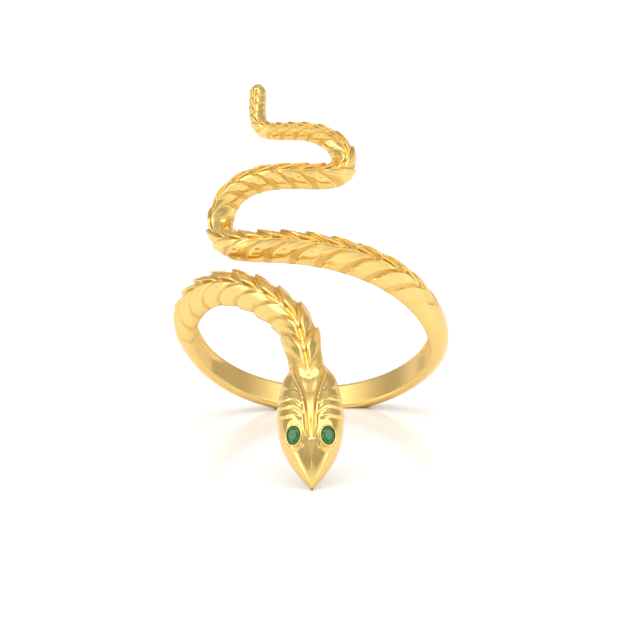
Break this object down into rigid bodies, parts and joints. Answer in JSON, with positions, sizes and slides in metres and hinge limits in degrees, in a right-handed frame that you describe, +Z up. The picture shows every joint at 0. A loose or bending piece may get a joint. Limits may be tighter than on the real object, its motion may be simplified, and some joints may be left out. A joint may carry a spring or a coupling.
{
  "type": "snake wrap ring",
  "caption": "Cast snake ring that wraps once round the finger, with raised leaf-shaped scales, a domed head and two oval green eye stones.",
  "frame": {"origin": "on the surface that the ring stands on, under the centre of its box", "axes": "+Z up from the surface; -Y towards the front, where the head is; +X to the right seen from the front"},
  "size_m": [0.0202, 0.0284, 0.0247],
  "materials": {
    "gold": "polished yellow gold plating on silver, satin inside the finger loop",
    "green_stone": "cut and polished green stone"
  },
  "bodies": {
    "root": {"snake_ring": "gold", "eye_stone_left": "green_stone", "eye_stone_right": "green_stone"}
  },
  "joints": []
}
